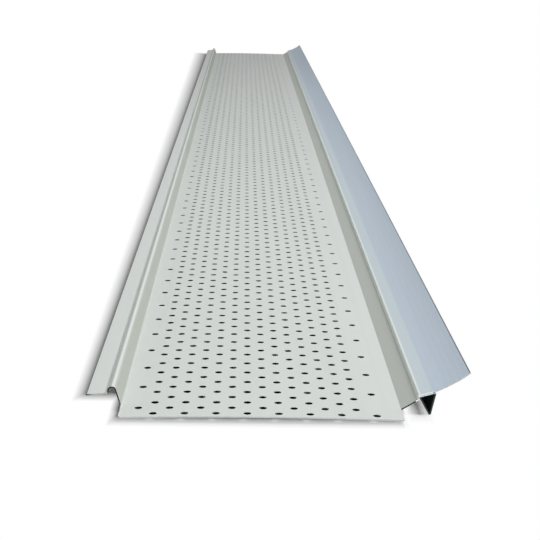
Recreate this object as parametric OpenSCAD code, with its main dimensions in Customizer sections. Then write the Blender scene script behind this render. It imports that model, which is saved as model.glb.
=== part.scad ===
// Perforated gutter guard panel, roll-formed from one painted aluminium sheet.
// X runs across the panel with the flange for the gutter's front lip at minus X, Y runs
// along its length from the middle, and Z is up. The sheet is drawn as its section, bend
// by bend, then extruded, notched at the near end and punched. It has over two thousand
// holes, so it is drawn in three stretches that meet face to face between hole rows.

/* [Sheet] */
// Length of the panel along the gutter
panel_len = 1524; // [300:1:3048]
// Thickness of the sheet
sheet_t = 0.48; // [0.3:0.02:0.8]
// Inside radius of the ordinary bends
bend_r = 0.6; // [0.3:0.1:1.2]

/* [Perforated floor] */
// Width of the floor between the feet of the two walls
floor_w = 100.6; // [90:0.1:140]
// Height that the floor's middle stands above its edges
floor_crown = 0.6; // [0.2:0.1:3]
// Diameter of the punched holes
hole_d = 2.8; // [1.5:0.1:4]
// Half of the hole pitch, between neighbouring staggered rows and columns
half_pitch = 5.556; // [5:0.001:8]
// Distance of the first hole column from the front wall's foot
front_margin = 6.4; // [3:0.1:8]
// Distance of the last hole column from the back wall's foot
back_margin = 9.4; // [3:0.1:10]
// Distance of the first hole row from the near edge of the floor
first_row = 3.3; // [2:0.1:8]
// Length of floor that reaches past the walls at the near end, to lap the next panel
lap_len = 10.8; // [2:0.5:40]

/* [Front edge] */
// Height of the rib's top above the floor's edge
rib_top = 7.3; // [6:0.1:12]
// Width of the rib over its outside faces
rib_w = 2.8; // [2.4:0.1:5]
// Height of the rib's top above the flange beside it
rib_proud = 2.2; // [1.6:0.1:4]
// How far the front wall leans out from its foot to its top
front_lean = 2.2; // [0.5:0.1:6]
// Width of the front flange
front_flange_w = 8; // [4:0.1:20]
// How far the front flange drops towards its outer edge
front_flange_drop = 0.8; // [0:0.1:3]

/* [Back edge] */
// Height of the back wall's crease above the floor's edge
crease_top = 5.5; // [5:0.1:9]
// How far the back wall leans out from its foot to the crease
back_lean = 6.5; // [4:0.1:12]
// Width of the narrow strip between the crease and the back flange
strip_w = 4.7; // [3:0.1:8]
// Rise of the strip across its width
strip_rise = 1.3; // [0:0.1:2]
// Width of the back flange, measured along its chord
back_flange_w = 15.2; // [8:0.1:30]
// Slope of the back flange where it leaves the strip, in degrees
flange_start_deg = 20; // [5:1:40]
// Slope of the back flange at its outer edge, in degrees
flange_end_deg = 39; // [10:1:60]
// Width of the V-shaped fold under the strip, at its top
vee_w = 6.1; // [5:0.1:9]
// Depth of the V-shaped fold's tip below the crease
vee_depth = 7.9; // [6.5:0.1:10]
// Place of the V's tip across its width, as a share from its front side
vee_tip_share = 0.65; // [0.4:0.01:0.8]

/* [Hidden] */
NODES = ["near_stretch", "middle_stretch", "far_stretch"];

// Overrun of every cut past the face that it opens
cut_over = 1;
// Open gap between the layers that are folded back on each other
hem_gap = 0.16;
// Points of the section that are nearer than this are one point
same_point = 0.001;
// Steps in a bend's arc
bend_steps = 5;
// Steps in the back flange's curve
flange_steps = 6;
// Facets of a punched hole
hole_fn = 24;
// Flat strips that the crowned floor is made of, on each side of its middle strip
side_strips = 3;
// Rows in which the two outer columns have one hole
sparse_step = 4;

foot_x = floor_w / 2;
mid_r = bend_r + sheet_t / 2;
hem_r = (hem_gap + sheet_t) / 2;

// Hole columns, counted in half pitches from the first one
column_x0 = front_margin - foot_x;
last_column_x = foot_x - back_margin;
dense_columns = floor((last_column_x - column_x0 - half_pitch) / half_pitch);
rows = floor((panel_len - first_row - hole_d) / half_pitch) + 1;
stretches = len(NODES);
near_y = -panel_len / 2;

function column_x(u) = column_x0 + u * half_pitch;
function row_y(v) = near_y + first_row + v * half_pitch;

// First hole row of stretch i, and the seam in front of it
function seam_row(i) = round(rows * i / stretches);
function seam_y(i) =
    i == 0 ? near_y : i == stretches ? -near_y : row_y(seam_row(i)) - half_pitch / 2;

// Height of the floor's middle layer: a shallow arch whose top is over the middle of
// the hole columns
arch_x = column_x((dense_columns + 1) / 2);
function floor_z(x) =
    floor_crown * (1 - pow((x - arch_x) / ((x < arch_x ? -foot_x : foot_x) - arch_x), 2))
    - sheet_t / 2;

// Fold lines of the arch, which run between the hole columns, two columns apart
fold_xs = [for (i = [-side_strips : side_strips - 1]) arch_x + (2 * i + 1) * half_pitch];
strip_xs = concat([-foot_x], fold_xs, [foot_x]);

// Points of an arc that rounds the corner b of the path a, b, c with radius r
function unit(v) = v / norm(v);
function turn(a, b, c) =
    let (d = unit(b - a), e = unit(c - b)) atan2(d.x * e.y - d.y * e.x, d * e);
function rounded(a, b, c, r) =
    let (
        bend = turn(a, b, c),
        side = sign(bend),
        setback = r * tan(abs(bend) / 2),
        start = b - unit(b - a) * setback,
        along = unit(b - a),
        normal = side * [-along.y, along.x],
        centre = start + normal * r
    )
    [for (i = [0 : bend_steps]) let (t = bend * i / bend_steps)
        centre + [
            -normal.x * cos(t) + normal.y * sin(t),
            -normal.x * sin(t) - normal.y * cos(t)
        ] * r];

// A path with each inner corner rounded by its own radius, where that isn't zero
function bent(corners, radii) = [
    for (i = [0 : len(corners) - 1])
        if (i == 0 || i == len(corners) - 1 || radii[i] == 0) corners[i]
        else each rounded(corners[i - 1], corners[i], corners[i + 1], radii[i])
];

// The path without points that repeat the one before, as where two arcs meet
function distinct(path) = [
    for (i = [0 : len(path) - 1]) if (i == 0 || norm(path[i] - path[i - 1]) > same_point) path[i]
];

// The path moved sideways by d, with mitred corners
function edge_normal(a, b) = let (e = unit(b - a)) [-e.y, e.x];
function beside(path, d) = [
    for (i = [0 : len(path) - 1])
        let (
            m = edge_normal(path[max(i - 1, 0)], path[max(i, 1)]),
            n = edge_normal(path[min(i, len(path) - 2)], path[min(i + 1, len(path) - 1)])
        )
        path[i] + (m + n) / (1 + m * n) * d
];

// Middle layer of the front edge, from the flange's edge to the wall's foot
rib_in_x = -foot_x - front_lean;
rib_out_x = rib_in_x - rib_w + sheet_t;
rib_mid_z = rib_top - sheet_t / 2;
rib_r = (rib_w - sheet_t) / 2;
front_flange_z = rib_top - rib_proud - sheet_t / 2;
front_corners = [
    [rib_out_x - front_flange_w, front_flange_z - front_flange_drop],
    [rib_out_x, front_flange_z],
    [rib_out_x, rib_mid_z],
    [rib_in_x, rib_mid_z],
    [-foot_x, floor_z(-foot_x)]
];

// Middle layer of the back edge, from the wall's foot to the flange's edge. The wall
// turns down into the V, the V comes up and runs back under the strip, and a hem at
// the crease turns it over into the strip.
crease_x = foot_x + back_lean;
strip_start = [crease_x, crease_top - sheet_t / 2];
strip_end = strip_start + [strip_w, strip_rise];
strip_way = unit(strip_end - strip_start);
layer_drop = [strip_way.y, -strip_way.x] * (sheet_t + hem_gap);
hem_corner = strip_start - strip_way * hem_r;
vee_right = hem_corner + layer_drop + strip_way * vee_w;
vee_left = strip_start + 2 * layer_drop;
vee_tip = [crease_x + vee_w * vee_tip_share, crease_top - vee_depth];
back_corners = [
    [foot_x, floor_z(foot_x)],
    vee_left,
    vee_tip,
    vee_right,
    hem_corner + layer_drop,
    hem_corner,
    strip_end
];

// Back flange: its slope grows evenly from the strip to its outer edge
function flange_deg(i) =
    flange_start_deg + (flange_end_deg - flange_start_deg) * (i - 1 / 2) / flange_steps;
function flange_point(i) = i == 0 ? strip_end :
    flange_point(i - 1) + [cos(flange_deg(i)), sin(flange_deg(i))] * back_flange_w / flange_steps;
flange_points = [for (i = [1 : flange_steps]) flange_point(i)];

corners = concat(front_corners, [for (x = fold_xs) [x, floor_z(x)]], back_corners, flange_points);
radii = concat(
    [0, mid_r / 2, rib_r, rib_r, mid_r],
    [for (x = fold_xs) 0],
    [mid_r, hem_r, hem_r, mid_r / 2, hem_r, hem_r, mid_r],
    [for (p = flange_points) 0]
);
middle_layer = distinct(bent(corners, radii));
top_side = beside(middle_layer, sheet_t / 2);
under_side = beside(middle_layer, -sheet_t / 2);
outline = concat(top_side, [for (i = [len(under_side) - 1 : -1 : 0]) under_side[i]]);

// Shift that puts the origin under the middle of the section
outline_xs = [for (p = outline) p.x];
outline_zs = [for (p = outline) p.y];
centre_x = (min(outline_xs) + max(outline_xs)) / 2;
bottom_z = min(outline_zs);

// The sheet's section, extruded from one place along the panel to another
module formed_sheet(from_y, to_y) {
    translate([0, to_y, 0]) rotate([90, 0, 0]) linear_extrude(to_y - from_y) polygon(outline);
}

// Block that takes the wall and flange away on one side of the lapping end
module end_notch(side) {
    reach = max(max(outline_xs), -min(outline_xs)) - foot_x + cut_over;
    high = max(outline_zs) - bottom_z + 2 * cut_over;
    translate([side > 0 ? foot_x : -foot_x - reach, near_y - cut_over, bottom_z - cut_over])
        cube([reach, lap_len + cut_over, high]);
}

// A column of punches that lie between two fold lines stands square to their strip. It
// has a punch in each v_step rows from v_first, and here are those of rows low to high.
module punch_column(x, v_first, v_step, low, high) {
    v_start = v_first + ceil(max(low - v_first, 0) / v_step) * v_step;
    strip = max([for (i = [0 : len(strip_xs) - 2]) if (x > strip_xs[i]) i]);
    a = [strip_xs[strip], floor_z(strip_xs[strip])];
    b = [strip_xs[strip + 1], floor_z(strip_xs[strip + 1])];
    along = (x - a.x) / (b.x - a.x);
    deep = sheet_t + 2 * cut_over;
    translate([x, 0, a.y + (b.y - a.y) * along])
        rotate([0, -atan2(b.y - a.y, b.x - a.x), 0])
            linear_extrude(deep, center = true)
                for (v = [v_start : v_step : high])
                    translate([0, row_y(v)]) circle(d = hole_d, $fn = hole_fn);
}

// Staggered holes of rows low to high, with one in four rows in each outer column
module punches(low, high) {
    for (u = [1 : dense_columns]) punch_column(column_x(u), (u + 1) % 2, 2, low, high);
    punch_column(column_x0, 1, sparse_step, low, high);
    punch_column(last_column_x, 0, sparse_step, low, high);
}

module stretch(i) {
    translate([-centre_x, 0, -bottom_z])
        difference() {
            formed_sheet(seam_y(i), seam_y(i + 1));
            if (i == 0) {
                end_notch(-1);
                end_notch(1);
            }
            punches(seam_row(i), seam_row(i + 1) - 1);
        }
}

module near_stretch() {
    color([0.82, 0.84, 0.83]) stretch(0);
}

module middle_stretch() {
    color([0.82, 0.84, 0.83]) stretch(1);
}

module far_stretch() {
    color([0.82, 0.84, 0.83]) stretch(2);
}

near_stretch();
middle_stretch();
far_stretch();
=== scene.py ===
"""Looks of the gutter guard panel: painted sheet, a pale floor, soft light and the photograph's view."""

import math

import bpy
from mathutils import Matrix, Vector


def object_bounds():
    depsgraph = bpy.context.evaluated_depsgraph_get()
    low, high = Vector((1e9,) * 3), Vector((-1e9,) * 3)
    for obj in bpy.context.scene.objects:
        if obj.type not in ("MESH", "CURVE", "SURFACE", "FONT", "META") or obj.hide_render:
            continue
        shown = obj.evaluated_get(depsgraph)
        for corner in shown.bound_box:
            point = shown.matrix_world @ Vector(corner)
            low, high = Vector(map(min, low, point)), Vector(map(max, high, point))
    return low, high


MM = 0.001
WHITE = (1, 1, 1, 1)

# The view. The photograph is 540 pixels square, and the focal length is fitted in its pixels.
PHOTO_SIDE = 540
FOCAL_PX = 1282
SENSOR_MM = 36
CAMERA_AT = Vector((-13.75, -1184.8, 163.6)) * MM
CAMERA_YAW = math.radians(1.31)  # towards +X
CAMERA_PITCH = math.radians(14.3)  # down
CAMERA_ROLL = math.radians(1.1)
CLIP_START = 10 * MM

# Places across the sheet's section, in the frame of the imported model, from the front to the back
FLANGE_EDGE_X = -68.8 * MM
RIB_X = (-61.1 * MM, -58.2 * MM)
RIB_LINE_X = -59.6 * MM  # between the rib's dark outer shoulder and its bright inner one
RIB_LOW_Z = 9 * MM  # the rib's bend is above this
FEET_X = (-56.3 * MM, 44.3 * MM)  # where the two walls meet the perforated floor
HOLES_X = (-52.4 * MM, 37.4 * MM)
HEM_X = (49.5 * MM, 51.4 * MM)  # from the start of the crease to the end of its bright line
HEM_LOW_Z = 5.7 * MM
STRIP_END_X = 55.5 * MM
STRIP_SLOPE = 0.277
SHEET = 0.48 * MM
# The perforated floor's crown: the height of its top side at the feet, its rise and the place of its top
PAN_EDGE_Z = 2.06 * MM
PAN_CROWN = 0.6 * MM
PAN_TOP_X = -8.2 * MM
# Corners of the V fold in X and Z, at the middle of its sheet
FOLD_LEFT = (51.1 * MM, 6.1 * MM)
FOLD_TIP = (54.8 * MM, -0.3 * MM)
FOLD_RIGHT = (56.5 * MM, 8.2 * MM)
# Length of the tab at the near end
LAP = 10.8 * MM

# Paint, bare metal, and painted light and shade, as linear colours
PAINT = (0.66, 0.69, 0.67)
# The walls' paint is greener than the rest, and darker as painted shade.
FRONT_WALL_PAINTED_SHADE = (0.545, 0.575, 0.52)
BACK_WALL_PAINTED_SHADE = (0.49, 0.515, 0.48)
# A painted highlight on the tight bends of the rib and the hem
BEND_PAINTED_HIGHLIGHT = (0.76, 0.81, 0.78)
# Painted shade on the upper side of the rib's outer shoulder
SHOULDER_PAINTED_SHADE = (0.45, 0.48, 0.46)
# The strip and the back flange are bluer, as a painted reflection of bluish surroundings.
STRIP_PAINTED_REFLECTION = (0.555, 0.63, 0.67)
BACK_PAINTED_REFLECTION = (0.51, 0.585, 0.67)
# Painted shade along the front and back long edges, for the sheet's edge in shade
SLIT_EDGE_PAINTED_SHADE = (0.17, 0.19, 0.20)
# The cut ends are one bare metal: lighter as painted light at the strip, grey, and near black as painted
# shade.
CUT_PAINTED_LIGHT = (0.62, 0.68, 0.68)
CUT_MIDDLE = (0.40, 0.42, 0.42)
CUT_PAINTED_SHADE = (0.015, 0.018, 0.018)
DEEP_SHADE = (0.012, 0.014, 0.014)
FOLD_SHADE = (0.035, 0.05, 0.046)

# Where one colour of the sheet turns into the next
BLEND = 1 * MM  # usual width of a turn, or half of it where it goes both ways from a line
HEM_BLEND = 0.5 * MM
RIB_LINE_BLEND = 0.25 * MM  # on each side of the line
SLIT_LINE_WIDTH = (0.45 * MM, 0.6 * MM)  # along the front edge and the back one
CUT_END_FACING = 0.9  # a cut end's normal has at least this much of Y
HOLE_WALL_FACING = 0.5  # a hole wall's normal has at most this much of Z
HOLES_OFF_ENDS = 1 * MM  # the holes lie at least this far from the panel's ends
# As shares of the sheet's thickness: the depths in a hole where its wall starts and ends turning dark,
# and how far the fold's dark spreads over its cut sheet
# Both darks are painted shade.
HOLE_DARK_SHARES = (0.1, 0.45)
FOLD_OVER_CUT_SHARE = 0.6

# The paint's unevenness: features per metre along each axis, and what they do to the paint
STREAKS = {"stretch": (260, 1.6, 260), "detail": 3.0}
CLOUDS = {"stretch": (22, 7, 22), "detail": 4.0}
PEEL = {"stretch": (900, 900, 900), "detail": 2.0}
TONE_SWING = 0.07  # how much streaks or clouds change the tone
CLOUD_RANGE = (0.3, 0.7)  # the clouds' values between which the roughness goes over its range
ROUGHNESS = (0.54, 0.62)
PEEL_STRENGTH = 0.25
PEEL_DEPTH = 0.04 * MM
SPECULAR = 0.05

# The light, at a level that leaves a colour near the value it is written with. The soft square lamps
# are a key above the near end, which leaves the far end darker, and low ones at the left and in front.
# Their places and widths are in metres.
WORLD_AT_HORIZON = 0.08
WORLD_OVERHEAD = 0.31
LAMPS = {
    "key": {"at": (0.85, -0.78, 1.55), "aim": (0.0, -0.78, 0.0), "width": 0.8, "watts": 21},
    "side": {"at": (-1.6, -0.05, 0.5), "aim": (0.0, -0.05, 0.0), "width": 0.8, "watts": 5.5},
    "fill": {"at": (0.0, -3.8, 0.6), "aim": (0.0, -0.76, 0.0), "width": 1.2, "watts": 70},
}

# The staged floor. Its shade, painted around the panel over the lamps' own shadow, shows only near the
# panel, and beyond that it is plain white.
FLOOR_HALF = 6.0
FLOOR_COLOUR = (0.86, 0.86, 0.86)
# Near the panel the floor's colour is darkened as painted shade, and under the pan it is painted deep shade.
SHADE_DEPTH = 0.5  # how much of the floor's colour is left in its shade, but for the shade at the back
# Under the perforated pan it is as dark as the photograph shows it through the holes
UNDER_PAN_SIDE = 3 * MM  # width of the dark's soft edge beside the holes
UNDER_PAN_NEAR = (4 * MM, 8 * MM)  # from the near edge
UNDER_PAN_FAR = 6 * MM  # from the far edge
# Where the painted shadow ends. A pair gives the places at which it starts and has ended its fading.
SHADE_LEFT_START = 2 * MM  # outwards from the front flange
SHADE_LEFT_WIDTH = (4.5 * MM, 20 * MM)  # at the near end and at the far end
SHADE_RIGHT = 3 * MM  # outwards from the back flange
SHADE_FAR = 30 * MM  # beyond the far end
SHADE_PAN_LEFT = (1.2 * MM, 4.2 * MM)  # outwards from the pan's sides
SHADE_PAN_RIGHT = (0.0, 2 * MM)
SHADE_PAN_NEAR = (-7 * MM, 4 * MM)  # outwards from the panel's near edge
SHADE_FLANGE_NEAR = (30.5 * MM, 21 * MM)  # under the front flange, inwards from the near edge
SHADE_BACK_NEAR = (39 * MM, 29 * MM)  # under the back flange, inwards from the near edge
SHADE_BACK_X = 59.4 * MM  # where those distances hold, and from where they grow by the slant
SHADE_BACK_SLANT = 2.0
SHADE_FOLD_SIDE = 5 * MM  # to each side of the V fold's front corner
SHADE_FOLD_NEAR = 9 * MM  # outwards from the walls' near end

# The sockets of a Mix node that is set to colours
MIX_A = 6
MIX_B = 7
MIX_RESULT = 2


def add_node(tree, kind, inputs=None, **settings):
    """A new shader node with its settings, and with each input linked to a socket or set to a value."""
    made = tree.nodes.new(kind)
    for name, value in settings.items():
        setattr(made, name, value)
    for name, value in (inputs or {}).items():
        socket = made.inputs[name]
        if isinstance(value, bpy.types.NodeSocket):
            tree.links.new(value, socket)
        else:
            socket.default_value = value
    return made


def math_node(tree, operation, a, b=0.0, c=0.0):
    return add_node(tree, "ShaderNodeMath", {0: a, 1: b, 2: c}, operation=operation).outputs[0]


def ramp(tree, value, start, end):
    """From 0 to 1 in a straight line as value goes from start to end, which may be the smaller."""
    return add_node(tree, "ShaderNodeMapRange", {0: value, 1: start, 2: end}).outputs[0]


def smooth_step(tree, value, start, end, at_start=0.0, at_end=1.0):
    """From at_start to at_end with soft ends as value goes from start to end, which may be the smaller."""
    inputs = {0: value, 1: start, 2: end, 3: at_start, 4: at_end}
    return add_node(tree, "ShaderNodeMapRange", inputs, interpolation_type="SMOOTHSTEP").outputs[0]


def at_least(tree, value, low):
    return math_node(tree, "GREATER_THAN", value, low)


def at_most(tree, value, high):
    return math_node(tree, "LESS_THAN", value, high)


def joined(tree, operation, values):
    """One value from all of them, taken in turn by a math node's operation."""
    found = values[0]
    for value in values[1:]:
        found = math_node(tree, operation, found, value)
    return found


def all_of(tree, *tests):
    """1 where every test is 1."""
    return joined(tree, "MULTIPLY", tests)


def largest(tree, *values):
    return joined(tree, "MAXIMUM", values)


def least(tree, *values):
    return joined(tree, "MINIMUM", values)


def opaque(colour):
    """A linear colour with its alpha, and a socket as it is."""
    return (*colour, 1) if isinstance(colour, tuple) else colour


def mix_colour(tree, factor, a, b):
    """Colour a where factor is 0, and colour b where it is 1."""
    inputs = {0: factor, MIX_A: opaque(a), MIX_B: opaque(b)}
    return add_node(tree, "ShaderNodeMix", inputs, data_type="RGBA").outputs[MIX_RESULT]


def noise(tree, coordinates, stretch, detail):
    """Noise over the object's own coordinates, with stretch features per metre along each axis."""
    mapped = add_node(tree, "ShaderNodeVectorMath", {0: coordinates, 1: stretch}, operation="MULTIPLY")
    inputs = {"Vector": mapped.outputs[0], "Scale": 1.0, "Detail": detail}
    return add_node(tree, "ShaderNodeTexNoise", inputs).outputs["Fac"]


def left_of(tree, x, z, start, end):
    """How far a place of the section lies to the left of the line from start to end."""
    way = (Vector(end) - Vector(start)).normalized()
    across = math_node(tree, "MULTIPLY", math_node(tree, "SUBTRACT", x, start[0]), -way.y)
    up = math_node(tree, "MULTIPLY", math_node(tree, "SUBTRACT", z, start[1]), way.x)
    return math_node(tree, "ADD", across, up)


def in_fold(tree, x, z, cut_end):
    """1 inside the V fold, and over most of the thickness of its sheet where that is cut."""
    spread = math_node(tree, "MULTIPLY", cut_end, -FOLD_OVER_CUT_SHARE * SHEET)
    back_along_strip = (FOLD_RIGHT[0] - 1, FOLD_RIGHT[1] - STRIP_SLOPE)
    return all_of(
        tree,
        at_least(tree, left_of(tree, x, z, FOLD_LEFT, FOLD_TIP), spread),
        at_least(tree, left_of(tree, x, z, FOLD_TIP, FOLD_RIGHT), spread),
        at_least(tree, left_of(tree, x, z, FOLD_RIGHT, back_along_strip), 0.0),
    )


def paint_colour(tree, x, z, upward, front_x, back_x):
    """Pale paint: greener and darker on the walls as painted shade, bluer at the back as a painted
    reflection, with painted highlights on tight bends and painted shade on the rib's outer shoulder and at
    slit edges.
    """
    on_front_wall = all_of(
        tree,
        at_most(tree, x, FEET_X[0]),
        smooth_step(tree, x, RIB_X[1] - BLEND, RIB_X[1]),
    )
    on_back_wall = all_of(tree, at_least(tree, x, FEET_X[1]), at_most(tree, x, HEM_X[1]))
    on_strip = all_of(tree, at_least(tree, x, HEM_X[0]), at_least(tree, z, HEM_LOW_Z))
    on_back = smooth_step(tree, x, STRIP_END_X - BLEND, STRIP_END_X + BLEND)
    on_rib = all_of(
        tree,
        at_least(tree, z, RIB_LOW_Z),
        at_least(tree, x, RIB_X[0]),
        smooth_step(tree, x, RIB_X[1], RIB_X[1] - BLEND),
    )
    on_shoulder = all_of(
        tree,
        on_rib,
        at_least(tree, upward, 0.0),
        smooth_step(tree, x, RIB_LINE_X + RIB_LINE_BLEND, RIB_LINE_X - RIB_LINE_BLEND),
    )
    on_hem = all_of(tree, on_strip, smooth_step(tree, x, HEM_X[1], HEM_X[1] - HEM_BLEND))
    at_slit = largest(
        tree,
        at_most(tree, x, front_x + SLIT_LINE_WIDTH[0]),
        at_least(tree, x, back_x - SLIT_LINE_WIDTH[1]),
    )
    colour = mix_colour(tree, on_front_wall, PAINT, FRONT_WALL_PAINTED_SHADE)
    colour = mix_colour(tree, on_back_wall, colour, BACK_WALL_PAINTED_SHADE)
    colour = mix_colour(tree, on_strip, colour, STRIP_PAINTED_REFLECTION)
    colour = mix_colour(tree, on_back, colour, BACK_PAINTED_REFLECTION)
    # Painted highlight on the bends of the rib and the hem
    colour = mix_colour(tree, largest(tree, on_rib, on_hem), colour, BEND_PAINTED_HIGHLIGHT)
    # Painted shade on the rib's outer shoulder
    colour = mix_colour(tree, on_shoulder, colour, SHOULDER_PAINTED_SHADE)
    # Painted shade along the slit edges
    return mix_colour(tree, at_slit, colour, SLIT_EDGE_PAINTED_SHADE)


def cut_colour(tree, x):
    """Bare metal at the panel's ends: grey, with painted light at the strip and painted shade on the front
    edge, rib and walls.
    """
    before_pan = smooth_step(tree, x, FEET_X[0] + BLEND, FEET_X[0] - BLEND)
    flange_mid = (RIB_X[0] + FLANGE_EDGE_X) / 2
    on_inner_flange = all_of(
        tree,
        at_most(tree, x, RIB_X[0]),
        smooth_step(tree, x, FLANGE_EDGE_X, flange_mid),
    )
    front_painted_shade = math_node(tree, "SUBTRACT", before_pan, on_inner_flange)
    wall_painted_shade = all_of(tree, at_least(tree, x, FEET_X[1]), at_most(tree, x, HEM_X[0]))
    on_strip = all_of(tree, at_least(tree, x, HEM_X[0]), at_most(tree, x, STRIP_END_X))
    colour = mix_colour(tree, on_strip, CUT_MIDDLE, CUT_PAINTED_LIGHT)
    return mix_colour(tree, largest(tree, front_painted_shade, wall_painted_shade), colour, CUT_PAINTED_SHADE)


def hole_colour(tree, x, z, colour):
    """A hole's wall: paint drawn over its upper edge, then painted shade down to its lower edge."""
    half = (FEET_X[1] - FEET_X[0]) / 2
    off = math_node(tree, "DIVIDE", math_node(tree, "SUBTRACT", x, PAN_TOP_X), half)
    drop = math_node(tree, "MULTIPLY", math_node(tree, "MULTIPLY", off, off), PAN_CROWN)
    top = math_node(tree, "SUBTRACT", PAN_EDGE_Z + PAN_CROWN, drop)
    depth = math_node(tree, "SUBTRACT", top, z)
    dark_from, dark_to = (share * SHEET for share in HOLE_DARK_SHARES)
    return mix_colour(tree, smooth_step(tree, depth, dark_from, dark_to), colour, DEEP_SHADE)


def on_hole_wall(tree, x, y, z, z_facing, low, high):
    """1 on the walls of the punched holes of the panel in the box low, high."""
    return all_of(
        tree,
        at_most(tree, z_facing, HOLE_WALL_FACING),
        at_most(tree, z, PAN_EDGE_Z + PAN_CROWN + SHEET),
        at_least(tree, x, HOLES_X[0]),
        at_most(tree, x, HOLES_X[1]),
        at_least(tree, y, low[1] + HOLES_OFF_ENDS),
        at_most(tree, y, high[1] - HOLES_OFF_ENDS),
    )


def painted_sheet(low, high):
    """Satin coil paint on thin aluminium: faintly streaked along its length, and bare where it is cut."""
    material = bpy.data.materials.new("painted_sheet")
    material.use_nodes = True
    tree = material.node_tree
    tree.nodes.clear()
    place = add_node(tree, "ShaderNodeTexCoord").outputs["Object"]
    facing = add_node(tree, "ShaderNodeTexCoord").outputs["Normal"]
    xyz = add_node(tree, "ShaderNodeSeparateXYZ", {0: place})
    normal = add_node(tree, "ShaderNodeSeparateXYZ", {0: facing})
    x, y, z = (xyz.outputs[axis] for axis in "XYZ")

    clouds = noise(tree, place, **CLOUDS)
    tone = math_node(tree, "MULTIPLY_ADD", noise(tree, place, **STREAKS), TONE_SWING, 1 - TONE_SWING)
    tone = math_node(tree, "MULTIPLY_ADD", clouds, TONE_SWING, tone)
    colour = paint_colour(tree, x, z, normal.outputs["Z"], low[0], high[0])
    paint = add_node(tree, "ShaderNodeVectorMath", {0: colour, "Scale": tone}, operation="SCALE").outputs[0]

    cut_end = at_least(tree, math_node(tree, "ABSOLUTE", normal.outputs["Y"]), CUT_END_FACING)
    z_facing = math_node(tree, "ABSOLUTE", normal.outputs["Z"])
    hole_wall = on_hole_wall(tree, x, y, z, z_facing, low, high)
    surface = mix_colour(tree, cut_end, paint, cut_colour(tree, x))
    surface = mix_colour(tree, hole_wall, surface, hole_colour(tree, x, z, paint))
    surface = mix_colour(tree, in_fold(tree, x, z, cut_end), surface, FOLD_SHADE)

    relief = {"Height": noise(tree, place, **PEEL), "Strength": PEEL_STRENGTH, "Distance": PEEL_DEPTH}
    inputs = {
        "Base Color": surface,
        "Roughness": smooth_step(tree, clouds, *CLOUD_RANGE, *ROUGHNESS),
        "Normal": add_node(tree, "ShaderNodeBump", relief).outputs[0],
        "Specular IOR Level": SPECULAR,
    }
    shader = add_node(tree, "ShaderNodeBsdfPrincipled", inputs)
    add_node(tree, "ShaderNodeOutputMaterial", {"Surface": shader.outputs[0]})
    return material


def seen_directly(tree):
    """1 for a ray from the camera, a mirror or glass, which meets the plain white background."""
    path = add_node(tree, "ShaderNodeLightPath")
    kinds = ("Is Camera Ray", "Is Glossy Ray", "Is Transmission Ray")
    return largest(tree, *(path.outputs[kind] for kind in kinds))


def out_of_shade(tree, x, y, low, high):
    """0 in the painted shadow of the panel in the box low, high, and 1 away from it."""
    from_near = math_node(tree, "SUBTRACT", y, low[1])
    to_left = math_node(tree, "SUBTRACT", low[0] - SHADE_LEFT_START, x)
    grown = SHADE_LEFT_WIDTH[1] - SHADE_LEFT_WIDTH[0]
    left_width = math_node(tree, "MULTIPLY_ADD", ramp(tree, y, low[1], high[1]), grown, SHADE_LEFT_WIDTH[0])
    left = ramp(tree, math_node(tree, "DIVIDE", to_left, left_width), 0.0, 1.0)
    right = ramp(tree, x, high[0], high[0] + SHADE_RIGHT)
    off_far_end = largest(tree, left, right, at_most(tree, y, high[1]))

    flange_near = ramp(tree, from_near, *SHADE_FLANGE_NEAR)
    off_front_flange = largest(tree, left, flange_near, at_least(tree, x, FEET_X[0]))

    slant = math_node(tree, "MULTIPLY", math_node(tree, "SUBTRACT", x, SHADE_BACK_X), SHADE_BACK_SLANT)
    back_near = ramp(tree, math_node(tree, "SUBTRACT", from_near, slant), *SHADE_BACK_NEAR)
    off_back_flange = largest(tree, right, back_near, at_most(tree, x, FOLD_RIGHT[0]))

    off_pan = largest(
        tree,
        ramp(tree, math_node(tree, "SUBTRACT", FEET_X[0], x), *SHADE_PAN_LEFT),
        ramp(tree, math_node(tree, "SUBTRACT", x, FEET_X[1]), *SHADE_PAN_RIGHT),
        ramp(tree, math_node(tree, "SUBTRACT", low[1], y), *SHADE_PAN_NEAR),
    )

    beside_fold = math_node(tree, "ABSOLUTE", math_node(tree, "SUBTRACT", x, FOLD_LEFT[0]))
    before_fold = math_node(tree, "SUBTRACT", low[1] + LAP, y)
    off_fold = largest(
        tree,
        ramp(tree, beside_fold, 0.0, SHADE_FOLD_SIDE),
        ramp(tree, before_fold, 0.0, SHADE_FOLD_NEAR),
    )

    off_panel = least(tree, off_front_flange, off_back_flange, off_pan, off_fold, off_far_end)
    return largest(tree, off_panel, ramp(tree, y, high[1], high[1] + SHADE_FAR))


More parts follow.
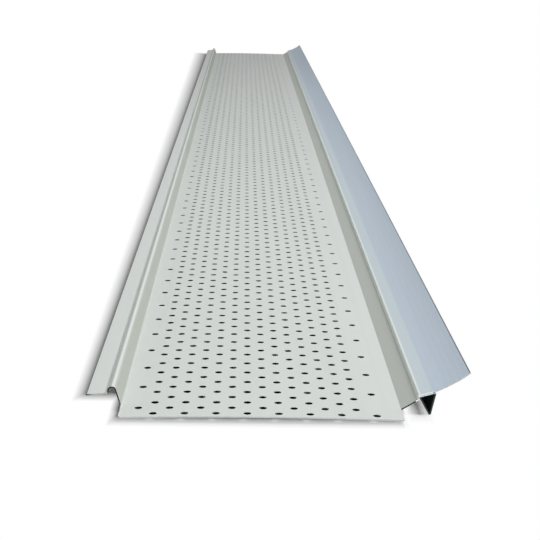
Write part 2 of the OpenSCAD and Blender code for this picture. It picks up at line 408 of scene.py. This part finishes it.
def floor_material(low, high):
    """White, but for a painted shadow of the panel in the box low, high, and painted deep shade under its
    perforated pan.
    """
    material = bpy.data.materials.new("studio_floor")
    material.use_nodes = True
    tree = material.node_tree
    tree.nodes.clear()
    place = add_node(tree, "ShaderNodeTexCoord").outputs["Object"]
    xyz = add_node(tree, "ShaderNodeSeparateXYZ", {0: place})
    x, y = xyz.outputs["X"], xyz.outputs["Y"]
    under_pan = all_of(
        tree,
        smooth_step(tree, x, HOLES_X[0] - UNDER_PAN_SIDE, HOLES_X[0]),
        smooth_step(tree, x, HOLES_X[1] + UNDER_PAN_SIDE, HOLES_X[1]),
        smooth_step(tree, y, low[1] + UNDER_PAN_NEAR[0], low[1] + UNDER_PAN_NEAR[1]),
        smooth_step(tree, y, high[1], high[1] - UNDER_PAN_FAR),
    )
    seen = seen_directly(tree)
    # Painted shade: the floor's colour darkened for rays from the camera
    deepened = all_of(tree, seen, at_most(tree, x, FEET_X[1]))
    shaded = tuple(SHADE_DEPTH * level for level in FLOOR_COLOUR)
    colour = mix_colour(tree, deepened, FLOOR_COLOUR, shaded)
    colour = mix_colour(tree, under_pan, colour, DEEP_SHADE)
    off_pan = math_node(tree, "SUBTRACT", 1.0, under_pan)
    clear = all_of(tree, out_of_shade(tree, x, y, low, high), off_pan, seen)
    matt = add_node(tree, "ShaderNodeBsdfDiffuse", {"Color": colour})
    white = add_node(tree, "ShaderNodeEmission", {"Color": WHITE, "Strength": 1.0})
    shown = add_node(tree, "ShaderNodeMixShader", {0: clear, 1: matt.outputs[0], 2: white.outputs[0]})
    add_node(tree, "ShaderNodeOutputMaterial", {"Surface": shown.outputs[0]})
    return material


def pale_floor(low, high):
    """The staged floor, with the shadow of the panel in the box low, high, partly from the lamps and partly
    painted.
    """
    sides = ((-1, -1), (1, -1), (1, 1), (-1, 1))
    corners = [(x * FLOOR_HALF, y * FLOOR_HALF, 0) for x, y in sides]
    mesh = bpy.data.meshes.new("studio_floor")
    mesh.from_pydata(corners, [], [range(len(corners))])
    mesh.materials.append(floor_material(low, high))
    floor = bpy.data.objects.new("studio_floor", mesh)
    bpy.context.scene.collection.objects.link(floor)


def studio_world():
    """Soft light, brighter overhead than at the horizon, as under a ceiling of lamps."""
    world = bpy.data.worlds.new("studio")
    world.use_nodes = True
    tree = world.node_tree
    tree.nodes.clear()
    direction = add_node(tree, "ShaderNodeTexCoord").outputs["Generated"]
    height = add_node(tree, "ShaderNodeSeparateXYZ", {0: direction}).outputs["Z"]
    inputs = {0: height, 1: 0.0, 2: 1.0, 3: WORLD_AT_HORIZON, 4: WORLD_OVERHEAD}
    strength = add_node(tree, "ShaderNodeMapRange", inputs).outputs[0]
    soft = add_node(tree, "ShaderNodeBackground", {"Color": WHITE, "Strength": strength})
    white = add_node(tree, "ShaderNodeBackground", {"Color": WHITE, "Strength": 1.0})
    inputs = {0: seen_directly(tree), 1: soft.outputs[0], 2: white.outputs[0]}
    shown = add_node(tree, "ShaderNodeMixShader", inputs)
    add_node(tree, "ShaderNodeOutputWorld", {"Surface": shown.outputs[0]})
    bpy.context.scene.world = world


def soft_lamp(name, at, aim, width, watts):
    """A square lamp at a place, turned to the point that it aims at, which the camera doesn't see."""
    lamp = bpy.data.lights.new(name, "AREA")
    lamp.shape = "SQUARE"
    lamp.size = width
    lamp.energy = watts
    thing = bpy.data.objects.new(name, lamp)
    bpy.context.scene.collection.objects.link(thing)
    thing.location = at
    thing.rotation_euler = (Vector(aim) - Vector(at)).to_track_quat("-Z", "Y").to_euler()
    thing.visible_camera = False


def camera():
    """The photograph's viewing angle, from the fitted place, yaw, pitch and roll."""
    data = bpy.data.cameras.new("camera")
    data.sensor_width = SENSOR_MM
    data.lens = SENSOR_MM * FOCAL_PX / PHOTO_SIDE
    data.clip_start = CLIP_START
    thing = bpy.data.objects.new("camera", data)
    bpy.context.scene.collection.objects.link(thing)
    turned = Matrix.Rotation(-CAMERA_YAW, 4, "Z") @ Matrix.Rotation(math.pi / 2 - CAMERA_PITCH, 4, "X")
    thing.matrix_world = Matrix.Translation(CAMERA_AT) @ turned @ Matrix.Rotation(CAMERA_ROLL, 4, "Z")
    bpy.context.scene.camera = thing


def finish_panel(stretches, low, high):
    """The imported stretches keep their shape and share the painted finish, which runs on over the seams."""
    paint = painted_sheet(low, high)
    for stretch in stretches:
        stretch.data.materials.clear()
        stretch.data.materials.append(paint)


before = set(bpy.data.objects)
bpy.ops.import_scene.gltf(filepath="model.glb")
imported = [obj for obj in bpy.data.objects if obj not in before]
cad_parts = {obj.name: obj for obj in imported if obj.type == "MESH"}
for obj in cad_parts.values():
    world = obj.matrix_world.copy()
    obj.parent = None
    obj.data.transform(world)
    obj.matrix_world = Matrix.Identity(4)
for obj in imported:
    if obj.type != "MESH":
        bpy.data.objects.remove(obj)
cad_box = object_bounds()
camera()
studio_world()
for lamp_name, lamp_values in LAMPS.items():
    soft_lamp(lamp_name, **lamp_values)
pale_floor(*cad_box)
finish_panel(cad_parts.values(), *cad_box)
bpy.context.scene.view_settings.view_transform = "Standard"
